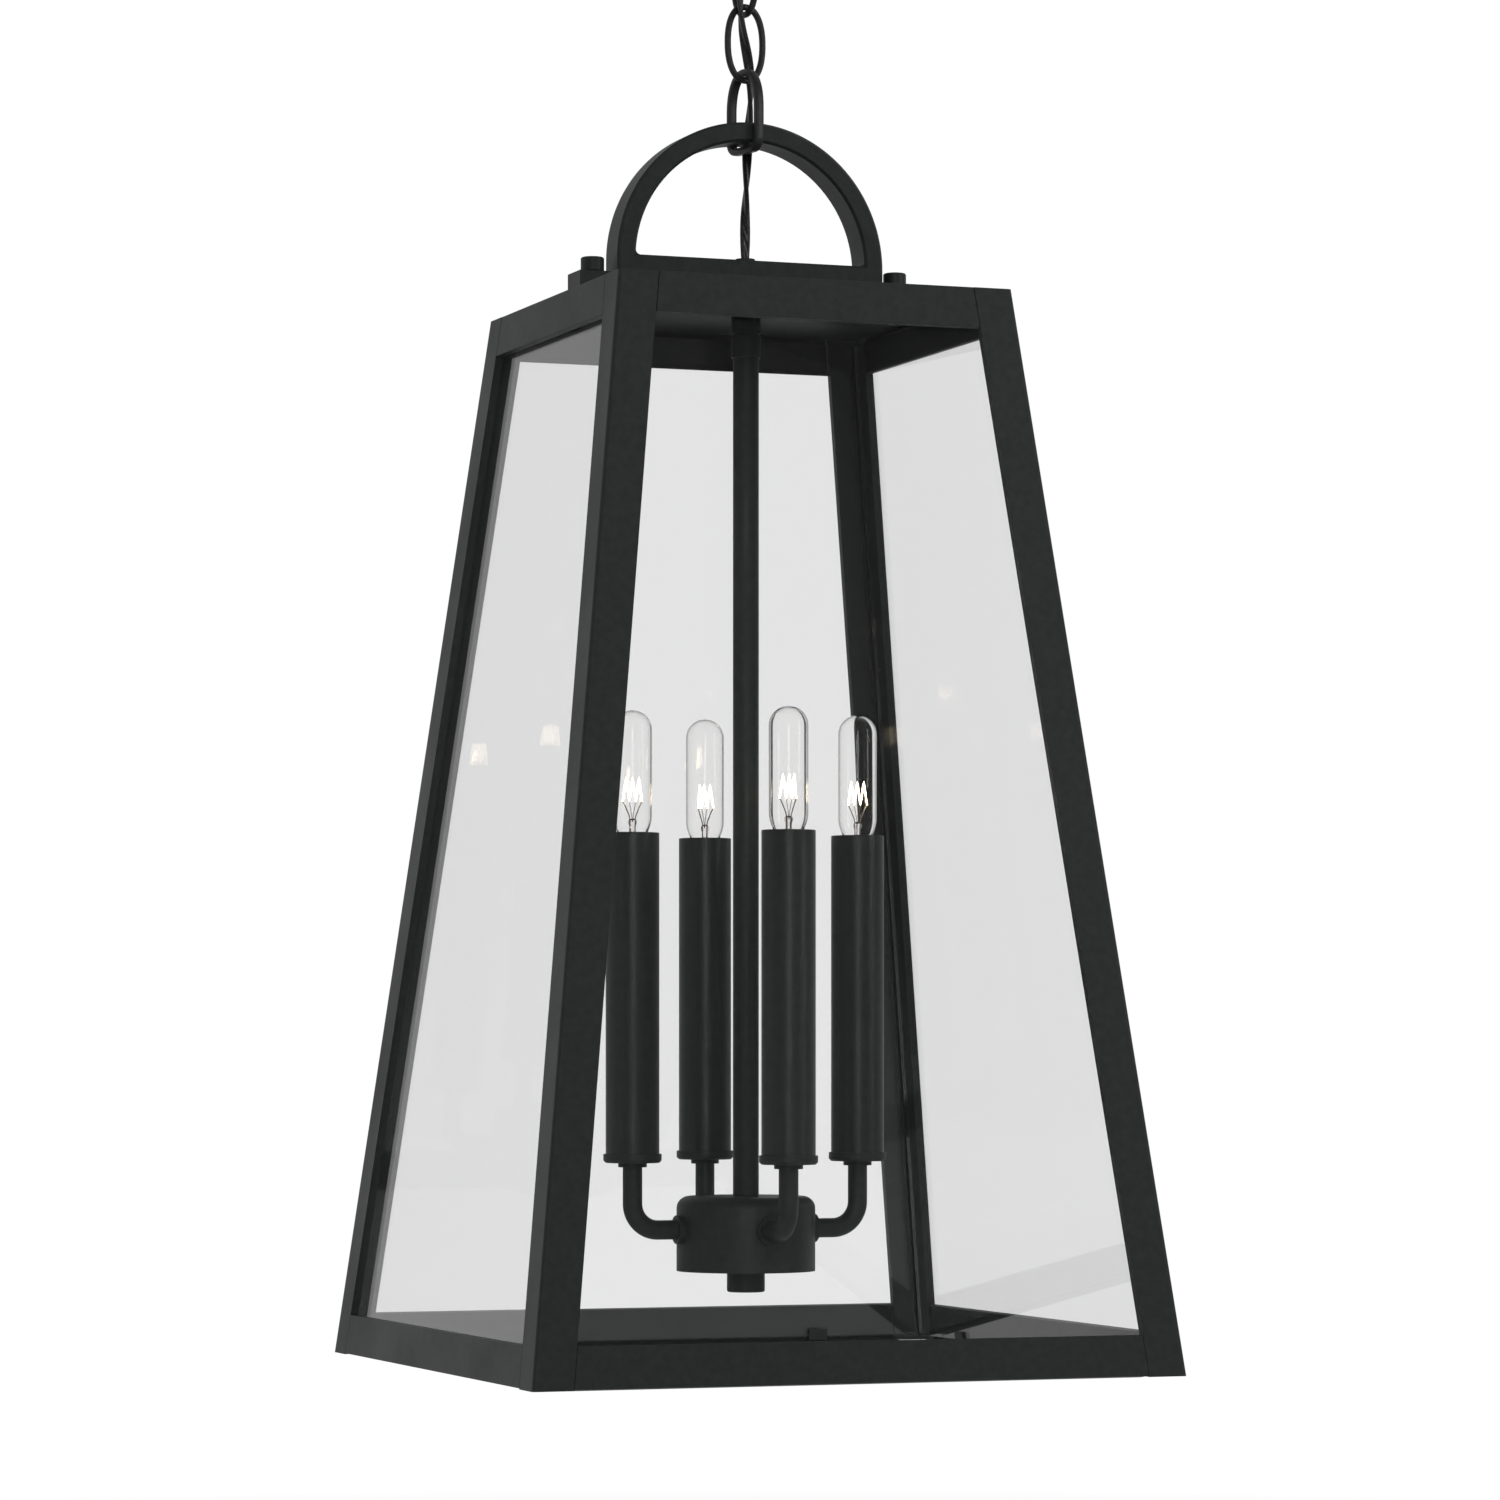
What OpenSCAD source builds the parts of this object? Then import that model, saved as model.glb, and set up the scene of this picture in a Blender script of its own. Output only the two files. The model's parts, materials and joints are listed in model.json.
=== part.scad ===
// Hanging lantern: a tapered cage with four clear panes hangs by its D handle from a short chain under a
// ceiling canopy. Four candle lights stand on arms round a hub at the foot of a centre rod.
// Millimetres, +Z up, X along the handle. The origin is the middle of the ceiling face. Heights inside the
// modules are counted from the lower edge of the cage's rails, and hung() carries them to the ceiling.

/* [Cage] */
// Width of the cage across the posts, level with the rails' lower edge
foot_w = 325; // [300:1:350]
// Width of the cage across the posts, at the very top
top_w = 199; // [190:1:220]
// Height of the cage, from the rails' lower edge to the top
cage_h = 518; // [500:1:560]
// Visible width of every post and rail
bar_face = 19.5; // [17:0.5:22]
// Depth of the folded edge that faces the glass
bar_depth = 4; // [3:0.5:8]
// Depth of the lower fold of the bottom rails, on which the panes rest
foot_fold = 10; // [8:0.5:15]
// Thickness of the folded sheet
sheet = 1.5; // [1:0.1:2]
// Thickness of the panes
glass_t = 3; // [2:0.5:4]
// How far the posts reach below the rails
post_drop = 0.5; // [0:0.1:3]

/* [Top] */
// Width of the cross bar
cross_w = 19; // [16:0.5:20]
// Length of the cross bar
cross_l = 177; // [165:1:180]
// Height of the cross bar's top above the cage
cross_rise = 12.2; // [8:0.1:14]
// Outside radius of the handle's arch
handle_r = 69.2; // [60:0.1:72]
// Thickness of the handle's flat bar
handle_t = 9.5; // [6:0.5:10]
// Width of the handle's flat bar
handle_w = 19; // [12:0.5:20]
// Distance of each thumb nut from the middle
stud_x = 79; // [77:0.5:81]

/* [Lights] */
// Distance of each candle from the middle
candle_r = 58.8; // [55:0.1:70]
// Diameter of the candle sleeves
sleeve_d = 26.1; // [25:0.1:28]
// Length of the candle sleeves
sleeve_l = 158.8; // [150:0.1:165]
// Diameter of the bulbs
bulb_d = 19; // [18:0.5:20]
// Diameter of the centre rod
rod_d = 12.7; // [12:0.1:14]
// Diameter of the arms
arm_d = 9.5; // [8.5:0.1:10]
// Diameter of the hub
hub_d = 68; // [60:1:74]
// Height of the hub
hub_h = 36.6; // [34:0.2:40]

/* [Hanging] */
// Turn of the chain about the vertical
chain_turn = 12; // [10:1:16]
// Outside length of the two oval links
link_l = 39.2; // [38:0.2:41]
// Outside width of the two oval links
link_w = 23.3; // [22:0.1:25]
// Wire diameter of the two oval links
link_t = 3.2; // [3:0.1:3.4]
// Diameter of the ceiling canopy
canopy_d = 127; // [120:1:140]
// Depth of the ceiling canopy
canopy_h = 25; // [22:1:30]
// Diameter of the twisted cord
cord_d = 4; // [3:0.5:4]

/* [Colours] */
// Powder coat of the metalwork
black = "#2b2e2d"; // [#2b2e2d, #1c1c1c, #3a3a38]
// Clear glass
clear = "#dfe8ea"; // [#dfe8ea, #e8eef0]

/* [Hidden] */
$fn = 64;

// Slope of the cage's faces
slope = (foot_w - top_w) / 2 / cage_h;
lean = atan(slope);
face_l = cage_h / cos(lean);
side_slope = (foot_w - top_w) / 2 / face_l;
side_lean = atan(side_slope);
post_half_angle = (180 - acos(pow(sin(lean), 2))) / 2;
post_round = 2;
seam = 0.3;

// Panes and their clips
pane_gap = 0.3;
pane_d0 = bar_depth + pane_gap;
pane_d1 = pane_d0 + glass_t;
pane_edge = pane_d1 + 0.8;
pane_low = 3.2;
pane_top = 4;
clip_t = 1;
clip_w = 10;
clip_h = 6;

// Top plate, cross bar, studs and nuts
plate_t = 1.5;
plate_half = top_w / 2 - bar_depth - 0.35;
plate_top = cage_h - 0.3;
cross_top = cage_h + cross_rise;
seat = 0.1;
stud_r = 2.5;
nut_r = 5.7;
nut_h = 7.2;
nut_fit = 0.05;

// Handle: a half ring on short legs, closed by a flat foot bar
handle_low = cross_top + seat;
arch_z = handle_low + 7.1;
foot_top = handle_low + 8.9;
handle_edge = 1.2;
inner_r = handle_r - handle_t;
corner_r = 2.5;

// Stem that carries the rod, and the rod
stem_r = 4.9;
stem_bore = 3.1;
stem_hole = 5.1;
coupler_low = cage_h - 26;
coupler_r = 7.2;
coupler_groove = 13;
rod_top = cage_h - 8;

// Hub, arms and candles
hub_low = 45;
hub_top = hub_low + hub_h;
hub_wall = 1.5;
arm_z = 65.5;
arm_bend = 13;
arm_bore = 3.3;
cup_low = 98.3;
cup_r = 14.2;
cup_h = 4.4;
sleeve_low = cup_low + 1.7;
sleeve_top = sleeve_low + sleeve_l;
sleeve_wall = 1;
socket_top = sleeve_top - 8.2;
socket_h = 36;
socket_r = 10.2;
screw_r = 5.95;
socket_fit = 0.07;
bulb_neck = socket_top + 0.6;
bulb_h = 67.2;
bulb_r = bulb_d / 2;
bulb_wall = 0.8;

// Chain, from the handle up to the canopy
play = 0.5;
low_t = 3.4;
low_band = 4.8;
low_l = 41.4;
low_corner = 5;
low_gap = 1.2;
low_room = round(10 * (handle_w / 2 + low_band / 2 * sin(chain_turn)) / cos(chain_turn)) / 10 + 0.5;
low_w = 2 * (low_room + low_t);
low_z0 = arch_z + inner_r - low_gap - low_t;
mid_z0 = low_z0 + low_l - low_t - play - link_t;
high_z0 = mid_z0 + link_l - 2 * link_t - play;
loop_r = 11;
loop_t = 5;
loop_z = high_z0 + link_l - link_t - play - loop_t / 2 + loop_r;
collar_r = 12;
collar_z0 = loop_z + loop_r - 0.5;
canopy_z0 = collar_z0 + 10;
ceiling = canopy_z0 + canopy_h;
canopy_t = 1.2;
brace_l = 104;
brace_w = 22;
brace_t = 2;
brace_screw = 44.45;

// Cord route, down from the canopy, through the chain and behind the handle, to the stem
cord_route = [
    [-16, -10, 742], [-16, -10, 734], [-16, -10, 726], [-15, -9.5, 718], [-12, -8.4, 710],
    [-9, -7.1, 701], [-6.5, -6.1, 692], [-5, -5.6, 683], [-4.6, -5.4, 674], [-4.6, -5.2, 667],
    [-3.8, -4.6, 659], [-2.2, -2.6, 652], [0.1, 0.2, 646], [2.4, 3, 640], [4.4, 5.4, 633],
    [5.8, 8, 624.5], [6.5, 10.8, 615.8], [6.4, 12.4, 607.2], [5.9, 12.4, 599], [4.8, 10.4, 590.8],
    [3.3, 7, 582.5], [1.5, 3.1, 572.5], [0.3, 0.7, 563], [0, 0, 554], [0, 0, 546],
    [0, 0, 538], [0, 0, 530]
];
cord_sides = 10;

// ---- Places ----

// Lifts a shape drawn from the cage's foot to its height under the ceiling
module hung() {
    translate([0, 0, -ceiling]) children();
}

// Side 0 is the front, then 1 right, 2 back and 3 left
module on_side(side) {
    rotate([0, 0, 90 * side]) children();
}

module at_candle(side) {
    hung() on_side(side) translate([0, -candle_r, 0]) children();
}

// The plane of one cage face: X across, Y up the slope, -Z into the lantern
module on_face(side) {
    hung() on_side(side) translate([0, -foot_w / 2, 0]) rotate([90 - lean, 0, 0]) children();
}

// ---- Cage ----

// Half width of a face at s up the slope, less a margin from the corner edge
function face_half(s, margin) = foot_w / 2 - s * side_slope - margin / cos(side_lean);

// A flat piece in a face: from s0 to s1 up the slope and from depth d0 to d1
module slab(s0, s1, d0, d1, margin) {
    low = face_half(s0, margin);
    high = face_half(s1, margin);
    translate([0, 0, -d1])
        linear_extrude(d1 - d0)
            polygon([[-low, s0], [low, s0], [high, s1], [-high, s1]]);
}

module rail(side, s0, low_depth) {
    color(black) on_face(side) {
        margin = bar_face + seam;
        slab(s0, s0 + bar_face, 0, sheet, margin);
        slab(s0, s0 + sheet, 0, low_depth, margin);
        slab(s0 + bar_face - sheet, s0 + bar_face, 0, bar_depth, margin);
    }
}

// One folded leg of a post's section
module post_leg() {
    start = post_round / tan(post_half_angle) - 0.1;
    translate([start, -sheet]) square([bar_face - start, sheet]);
    translate([bar_face - sheet, -bar_depth]) square([sheet, bar_depth]);
}

// Folded corner section, with its outer corner at the origin and +X pointing into the cage
module post_section() {
    start = post_round / tan(post_half_angle);
    touch = start * [cos(post_half_angle), sin(post_half_angle)];
    bend = [post_round / sin(post_half_angle), 0];
    rotate(post_half_angle) post_leg();
    mirror([0, 1]) rotate(post_half_angle) post_leg();
    intersection() {
        translate(bend) difference() {
            circle(post_round);
            circle(post_round - sheet);
        }
        polygon([bend, touch, [-1, 0], [touch[0], -touch[1]]]);
    }
}

// The post leans along its corner edge and is cut level at both ends
module post(sx, sy) {
    up = [-sx * slope, -sy * slope, 1] / norm([slope, slope, 1]);
    inward = [-sx, -sy, -2 * slope] / norm([1, 1, 2 * slope]);
    across = cross(up, inward);
    frame = [
        [inward[0], across[0], up[0], sx * foot_w / 2],
        [inward[1], across[1], up[1], sy * foot_w / 2],
        [inward[2], across[2], up[2], 0],
        [0, 0, 0, 1]
    ];
    color(black) hung() intersection() {
        multmatrix(frame) translate([0, 0, -10]) linear_extrude(cage_h * 1.05 + 20) post_section();
        translate([-foot_w, -foot_w, -post_drop]) cube([2 * foot_w, 2 * foot_w, cage_h + post_drop]);
    }
}

module post_front_left() {
    post(-1, -1);
}

module post_front_right() {
    post(1, -1);
}

module post_back_left() {
    post(-1, 1);
}

module post_back_right() {
    post(1, 1);
}

module top_rail(side) {
    rail(side, face_l - bar_face, bar_depth);
}

module bottom_rail(side) {
    rail(side, 0, foot_fold);
}

module pane(side) {
    color(clear, 0.3) on_face(side) slab(pane_low, face_l - pane_top, pane_d0, pane_d1, pane_edge);
}

// Hooked clip: its foot lies in the rail and its tongue stands behind the pane
module clip() {
    translate([-clip_w / 2, 0, -pane_d1 - clip_t - 0.2]) {
        cube([clip_w, clip_t, pane_d1 - sheet - 0.3]);
        cube([clip_w, clip_h, clip_t]);
    }
}

module glass_clips() {
    color(black)
        for (side = [0:3])
            for (x = [-0.6, 0.6])
                on_face(side) translate([x * foot_w / 2, sheet + 0.3, 0]) clip();
}

// ---- Top ----

module top_plate() {
    color(black) hung() translate([0, 0, plate_top - plate_t]) difference() {
        translate([-plate_half, -plate_half, 0]) cube([2 * plate_half, 2 * plate_half, plate_t]);
        translate([0, 0, -1]) cylinder(h = plate_t + 2, r = stem_hole);
    }
}

// Folded channel, open below, with closed ends
module cross_bar() {
    low = plate_top + seat;
    rise = cross_top - low;
    color(black) hung() translate([0, 0, low]) difference() {
        translate([-cross_l / 2, -cross_w / 2, 0]) cube([cross_l, cross_w, rise]);
        translate([-cross_l / 2 + sheet, -cross_w / 2 + sheet, -1])
            cube([cross_l - 2 * sheet, cross_w - 2 * sheet, rise - sheet + 1]);
        cylinder(h = rise + 1, r = stem_hole);
        for (side = [-1, 1])
            translate([side * stud_x, 0, 0]) cylinder(h = rise + 1, r = stud_r + 0.3);
    }
}

module studs() {
    color("silver") hung()
        for (side = [-1, 1])
            translate([side * stud_x, 0, plate_top + seat]) {
                cylinder(h = 1.2, r = stud_r + 2);
                cylinder(h = cross_top + nut_h - 1.8 - plate_top - seat, r = stud_r);
            }
}

// Capped thumb nut with a blind hole and softened edges
module thumb_nut(side) {
    soft = 0.6;
    color(black) hung() translate([side * stud_x, 0, cross_top + 0.35]) difference() {
        union() {
            cylinder(h = soft, r1 = nut_r - soft, r2 = nut_r);
            translate([0, 0, soft]) cylinder(h = nut_h - 2 * soft, r = nut_r);
            translate([0, 0, nut_h - soft]) cylinder(h = soft, r1 = nut_r, r2 = nut_r - soft);
        }
        translate([0, 0, -1]) cylinder(h = nut_h - 0.4, r = stud_r + nut_fit);
    }
}

module thumb_nut_left() {
    thumb_nut(-1);
}

module thumb_nut_right() {
    thumb_nut(1);
}

// Section of a flat bar with its long edges eased by e, centred on the origin
module eased_bar(thick, wide, e) {
    w = wide / 2;
    t = thick / 2;
    polygon([
        [-t + e, -w], [t - e, -w], [t, -w + e], [t, w - e],
        [t - e, w], [-t + e, w], [-t, w - e], [-t, -w + e]
    ]);
}

module handle_bar(thick) {
    eased_bar(thick, handle_w, handle_edge);
}

// Half ring, two short legs and the foot bar, with a small fillet inside each foot
module handle() {
    mid_r = handle_r - handle_t / 2;
    foot_t = foot_top - handle_low;
    color(black) hung() difference() {
        union() {
            translate([0, 0, arch_z]) rotate([90, 0, 0]) rotate_extrude(angle = 180)
                translate([mid_r, 0]) handle_bar(handle_t);
            for (side = [-1, 1])
                translate([side * mid_r, 0, handle_low]) linear_extrude(arch_z - handle_low)
                    handle_bar(handle_t);
            translate([-mid_r, 0, handle_low + foot_t / 2]) rotate([0, 90, 0])
                linear_extrude(2 * mid_r) handle_bar(foot_t);
            rotate([90, 0, 0]) linear_extrude(handle_w - 2 * handle_edge, center = true)
                handle_fillets();
        }
        translate([0, 0, handle_low - 1]) cylinder(h = foot_t + 2, r = stem_hole);
    }
}

// Filled corners where the arch meets the foot bar
module handle_fillets() {
    rise = foot_top + corner_r - arch_z;
    x = sqrt(pow(inner_r - corner_r, 2) - rise * rise);
    for (side = [0, 1])
        mirror([side, 0]) difference() {
            translate([x, foot_top - 1]) square([inner_r + 1 - x, corner_r + 1]);
            translate([x, foot_top + corner_r]) circle(corner_r);
        }
}

// Grooved sleeve round the rod's top and the threaded stem through plate, cross bar and handle
module rod_coupler() {
    collar_top = plate_top - plate_t - seat;
    groove = collar_top - coupler_groove;
    color(black) hung() difference() {
        union() {
            translate([0, 0, coupler_low]) cylinder(h = collar_top - coupler_low, r = coupler_r - 0.5);
            translate([0, 0, coupler_low]) cylinder(h = groove - coupler_low, r = coupler_r);
            translate([0, 0, groove + 0.8]) cylinder(h = collar_top - groove - 0.8, r = coupler_r);
            translate([0, 0, collar_top - 1]) cylinder(h = foot_top + 1.6 - collar_top + 1, r = stem_r);
        }
        translate([0, 0, coupler_low - 1])
            cylinder(h = rod_top + 0.2 - coupler_low + 1, r = rod_d / 2 + 0.05);
        translate([0, 0, coupler_low]) cylinder(h = foot_top + 3 - coupler_low, r = stem_bore);
    }
}

module centre_rod() {
    low = hub_top - 6;
    color(black) hung() translate([0, 0, low]) difference() {
        cylinder(h = rod_top - low, r = rod_d / 2);
        translate([0, 0, -1]) cylinder(h = rod_top - low + 2, r = rod_d / 2 - 1.2);
    }
}

// ---- Hub and arms ----

// Spun outline with a rounded shoulder, from the middle out to radius r and up to height h
module shoulder_outline(r, h, round_r) {
    square([r, h - round_r]);
    square([r - round_r, h]);
    translate([r - round_r, h - round_r]) circle(round_r);
}

// Spun cup, open below, with a hole for the rod and one for each arm
module hub_cup() {
    r = hub_d / 2;
    color(black) hung() translate([0, 0, hub_low]) difference() {
        rotate_extrude() shoulder_outline(r, hub_h, 6);
        translate([0, 0, -1]) rotate_extrude() shoulder_outline(r - hub_wall, hub_h - hub_wall + 1, 5);
        cylinder(h = hub_h + 1, r = rod_d / 2 + 0.2);
        for (side = [0:3])
            on_side(side) translate([0, -r + 8, arm_z - hub_low]) rotate([90, 0, 0])
                cylinder(h = 12, r = arm_d / 2 + 0.2);
    }
}

module hub_cover() {
    color(black) hung() translate([0, 0, hub_low + 0.5]) difference() {
        cylinder(h = hub_wall, r = hub_d / 2 - hub_wall - 0.3);
        translate([0, 0, -1]) cylinder(h = hub_wall + 2, r = 5);
    }
}

// Knob below the hub, with the stud that draws the cover up to the rod
module hub_finial() {
    knob_r = 9.3;
    knob_h = 10.4;
    color(black) hung() translate([0, 0, hub_low - knob_h]) {
        cylinder(h = 0.6, r1 = knob_r - 0.6, r2 = knob_r);
        translate([0, 0, 0.6]) cylinder(h = knob_h - 0.6, r = knob_r);
        translate([0, 0, knob_h]) cylinder(h = hub_h + 4, r = 4.7);
    }
}

module arm_outline() {
    difference() {
        circle(arm_d / 2);
        circle(arm_bore);
    }
}

// Bent tube: out of the hub, round the bend and up to the candle cup
module arm(side) {
    start = hub_d / 2 - 5;
    color(black) hung() on_side(side) translate([0, 0, arm_z]) {
        translate([0, -start, 0]) rotate([90, 0, 0])
            linear_extrude(candle_r - arm_bend - start) arm_outline();
        translate([0, -candle_r + arm_bend, arm_bend]) rotate([0, 90, 0])
            rotate([0, 0, 270]) rotate_extrude(angle = 90) translate([arm_bend, 0]) arm_outline();
        translate([0, -candle_r, arm_bend]) linear_extrude(cup_low + 1.4 - arm_z - arm_bend) arm_outline();
    }
}

module arm_collars() {
    collar = 7;
    color(black) hung()
        for (side = [0:3])
            on_side(side) difference() {
                translate([0, -hub_d / 2 + 2, arm_z]) rotate([90, 0, 0]) cylinder(h = 4.4, r = collar);
                translate([0, -hub_d / 2 + 3, arm_z]) rotate([90, 0, 0])
                    cylinder(h = 7, r = arm_d / 2 + 0.1);
                translate([0, 0, arm_z - 10]) cylinder(h = 20, r = hub_d / 2 + 0.1);
            }
}

// ---- Candles ----

// Shallow cup with a small collar below and a rounded lower edge
module candle_cups() {
    soft = 1.2;
    color(black)
        for (side = [0:3])
            at_candle(side) translate([0, 0, cup_low]) difference() {
                union() {
                    translate([0, 0, -2.1]) cylinder(h = 2.2, r = 7);
                    translate([0, 0, soft]) cylinder(h = cup_h - soft, r = cup_r);
                    cylinder(h = soft, r1 = cup_r - soft, r2 = cup_r);
                }
                translate([0, 0, 1.5]) cylinder(h = cup_h, r = sleeve_d / 2 + 0.15);
                translate([0, 0, -3]) cylinder(h = 6, r = arm_d / 2 + 0.1);
            }
}

module socket_stems() {
    low = cup_low + 1.6;
    high = socket_top - socket_h - 0.1;
    color("silver")
        for (side = [0:3])
            at_candle(side) translate([0, 0, low]) difference() {
                union() {
                    cylinder(h = 1.5, r = 9);
                    cylinder(h = high - low, r = 4.6);
                }
                translate([0, 0, -1]) cylinder(h = high - low + 2, r = 3);
            }
}

module sockets() {
    color("#e6dfcf")
        for (side = [0:3])
            at_candle(side) translate([0, 0, socket_top - socket_h]) difference() {
                cylinder(h = socket_h, r = socket_r);
                translate([0, 0, socket_h - 22]) cylinder(h = 23, r = screw_r + socket_fit);
                translate([0, 0, -1]) cylinder(h = socket_h, r = 3);
            }
}

module sleeve(side) {
    color(black) at_candle(side) translate([0, 0, sleeve_low]) difference() {
        cylinder(h = sleeve_l, r = sleeve_d / 2);
        translate([0, 0, -1]) cylinder(h = sleeve_l + 2, r = sleeve_d / 2 - sleeve_wall);
    }
}

// Outline of a tubular bulb: neck, taper, straight wall and round top, inset by the wall
module bulb_outline(inset) {
    r = bulb_r - inset;
    straight = bulb_h - bulb_r;
    polygon([
        [0, inset], [5.6 - inset, inset], [7.2 - inset, 7.4], [r - 0.2, 14],
        [r, 16.5], [r, straight], [0, straight]
    ]);
    translate([0, straight]) intersection() {
        circle(r);
        square([r, r]);
    }
}

module bulb_glass(side) {
    color(clear, 0.35) at_candle(side) translate([0, 0, bulb_neck]) rotate_extrude() difference() {
        bulb_outline(0);
        bulb_outline(bulb_wall);
    }
}

// Screw shell with its insulated foot and contact
module bulb_base(side) {
    shell = 17;
    color("goldenrod") at_candle(side) translate([0, 0, bulb_neck - 0.1 - shell]) {
        cylinder(h = shell, r = screw_r);
        translate([0, 0, -1.6]) cylinder(h = 1.6, r1 = 2.6, r2 = screw_r);
        translate([0, 0, -2.4]) cylinder(h = 1, r = 2);
    }
}

// Glass stem with a flattened pinch, two lead wires and the folded filament between them
module filament(side) {
    pinch = 15;
    fold_low = 24;
    fold_high = 33;
    step = 2;
    color("orange") at_candle(side) translate([0, 0, bulb_neck]) {
        translate([0, 0, bulb_wall + 0.2]) cylinder(h = pinch - 3, r1 = 3.6, r2 = 1.5);
        translate([-4, -0.8, pinch - 5]) cube([8, 1.6, 5]);
        for (way = [-1, 1]) {
            translate([way * 1.5 * step, 0, pinch - 1]) cylinder(h = fold_high - pinch + 1.3, r = 0.5);
            translate([way * 0.5 * step, 0, fold_low - 0.3])
                cylinder(h = fold_high - fold_low + 0.6, r = 0.5);
            translate([way * step, 0, fold_high]) rotate([0, 90, 0])
                cylinder(h = step + 1.4, r = 0.65, center = true);
        }
        translate([0, 0, fold_low]) rotate([0, 90, 0]) cylinder(h = step + 1.4, r = 0.65, center = true);
    }
}

// ---- Chain and canopy ----

// Link in the XZ plane with straight sides and half-round ends, bent from the section given as a child
module link(length, width, thick) {
    end_r = (width - thick) / 2;
    half = length / 2 - thick / 2 - end_r;
    for (end = [0, 1])
        rotate([0, 180 * end, 0]) {
            translate([0, 0, half]) rotate([90, 0, 0]) rotate_extrude(angle = 180)
                translate([end_r, 0]) children();
            translate([end_r, 0, -half]) linear_extrude(2 * half) children();
        }
}

// Link in the XZ plane with a half-round upper end and a flat lower end, on which the handle hangs
module flat_link(length, width, thick, corner) {
    end_r = (width - thick) / 2;
    flat_half = end_r - corner;
    round_z = length / 2 - thick / 2 - end_r;
    flat_z = -length / 2 + thick / 2;
    translate([0, 0, round_z]) rotate([90, 0, 0]) rotate_extrude(angle = 180)
        translate([end_r, 0]) children();
    translate([-flat_half, 0, flat_z]) rotate([0, 90, 0]) linear_extrude(2 * flat_half) children();
    for (side = [-1, 1]) {
        translate([side * end_r, 0, flat_z + corner]) linear_extrude(round_z - flat_z - corner) children();
        translate([side * flat_half, 0, flat_z + corner]) rotate([90, 0, 0])
            rotate([0, 0, 225 + side * 45]) rotate_extrude(angle = 90) translate([corner, 0]) children();
    }
}

module link_low() {
    color(black) hung() translate([0, 0, low_z0 + low_l / 2]) rotate([0, 0, chain_turn + 90])
        flat_link(low_l, low_w, low_t, low_corner) eased_bar(low_t, low_band, 1);
}

module link_mid() {
    color(black) hung() translate([0, 0, mid_z0 + link_l / 2]) rotate([0, 0, chain_turn])
        link(link_l, link_w, link_t) circle(link_t / 2);
}

module link_high() {
    color(black) hung() translate([0, 0, high_z0 + link_l / 2]) rotate([0, 0, chain_turn + 90])
        link(link_l, link_w, link_t) circle(link_t / 2);
}

// Ring, collar and threaded stem in one piece
module canopy_loop() {
    color(black) hung() {
        translate([0, 0, loop_z]) rotate([0, 0, chain_turn]) rotate([90, 0, 0]) rotate_extrude()
            translate([loop_r, 0]) circle(loop_t / 2);
        translate([0, 0, collar_z0]) cylinder(h = 2, r1 = collar_r - 2, r2 = collar_r);
        translate([0, 0, collar_z0 + 2]) cylinder(h = 8 - seat, r = collar_r);
        translate([0, 0, collar_z0 + 5]) cylinder(h = ceiling - collar_z0 - 5, r = stem_r);
    }
}

// Spun dish with a rim against the ceiling, a middle hole and a side hole for the cord
module canopy() {
    r = canopy_d / 2;
    body_r = r - 3.5;
    color(black) hung() translate([0, 0, ceiling]) mirror([0, 0, 1]) difference() {
        union() {
            cylinder(h = 3, r = r);
            rotate_extrude() shoulder_outline(body_r, canopy_h, 12);
        }
        translate([0, 0, -1])
            rotate_extrude() shoulder_outline(body_r - canopy_t, canopy_h - canopy_t + 1, 12 - canopy_t);
        cylinder(h = canopy_h + 1, r = stem_hole);
        translate([cord_route[0][0], cord_route[0][1], 0]) cylinder(h = canopy_h + 1, r = cord_d / 2 + 2);
    }
}

// Flat brace screwed to the ceiling box, with the stem through its middle
module canopy_brace() {
    color("silver") translate([0, 0, -brace_t]) difference() {
        translate([-brace_l / 2, -brace_w / 2, 0]) cube([brace_l, brace_w, brace_t]);
        translate([0, 0, -1]) cylinder(h = brace_t + 2, r = stem_hole);
        for (side = [-1, 1])
            translate([side * brace_screw, 0, -1]) cylinder(h = brace_t + 2, r = 2.5);
    }
}

module stem_nut() {
    color("silver") translate([0, 0, -brace_t - 5.2]) difference() {
        cylinder(h = 5, r = 8.5, $fn = 6);
        translate([0, 0, -1]) cylinder(h = 7, r = stem_hole);
    }
}

// ---- Cord ----

function cord_heading(i) =
    let (a = cord_route[max(i - 1, 0)], b = cord_route[min(i + 1, len(cord_route) - 1)])
    (b - a) / norm(b - a);

// One ring of points round the route at point i
function cord_ring(i) =
    let (way = cord_heading(i), u = cross([0, 1, 0], way), v = cross(way, u / norm(u)))
    [for (k = [0:cord_sides - 1])
        let (turn = 360 * k / cord_sides)
        cord_route[i] + cord_d / 2 * (cos(turn) * u / norm(u) + sin(turn) * v)];

module cord() {
    rings = len(cord_route);
    points = [for (i = [0:rings - 1]) each cord_ring(i)];
    walls = [for (i = [0:rings - 2]) for (k = [0:cord_sides - 1])
        let (n = (k + 1) % cord_sides)
        [i * cord_sides + k, i * cord_sides + n, (i + 1) * cord_sides + n, (i + 1) * cord_sides + k]];
    first = [for (k = [cord_sides - 1:-1:0]) k];
    last = [for (k = [0:cord_sides - 1]) (rings - 1) * cord_sides + k];
    color("black") hung() polyhedron(points, concat(walls, [first, last]));
}

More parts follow.
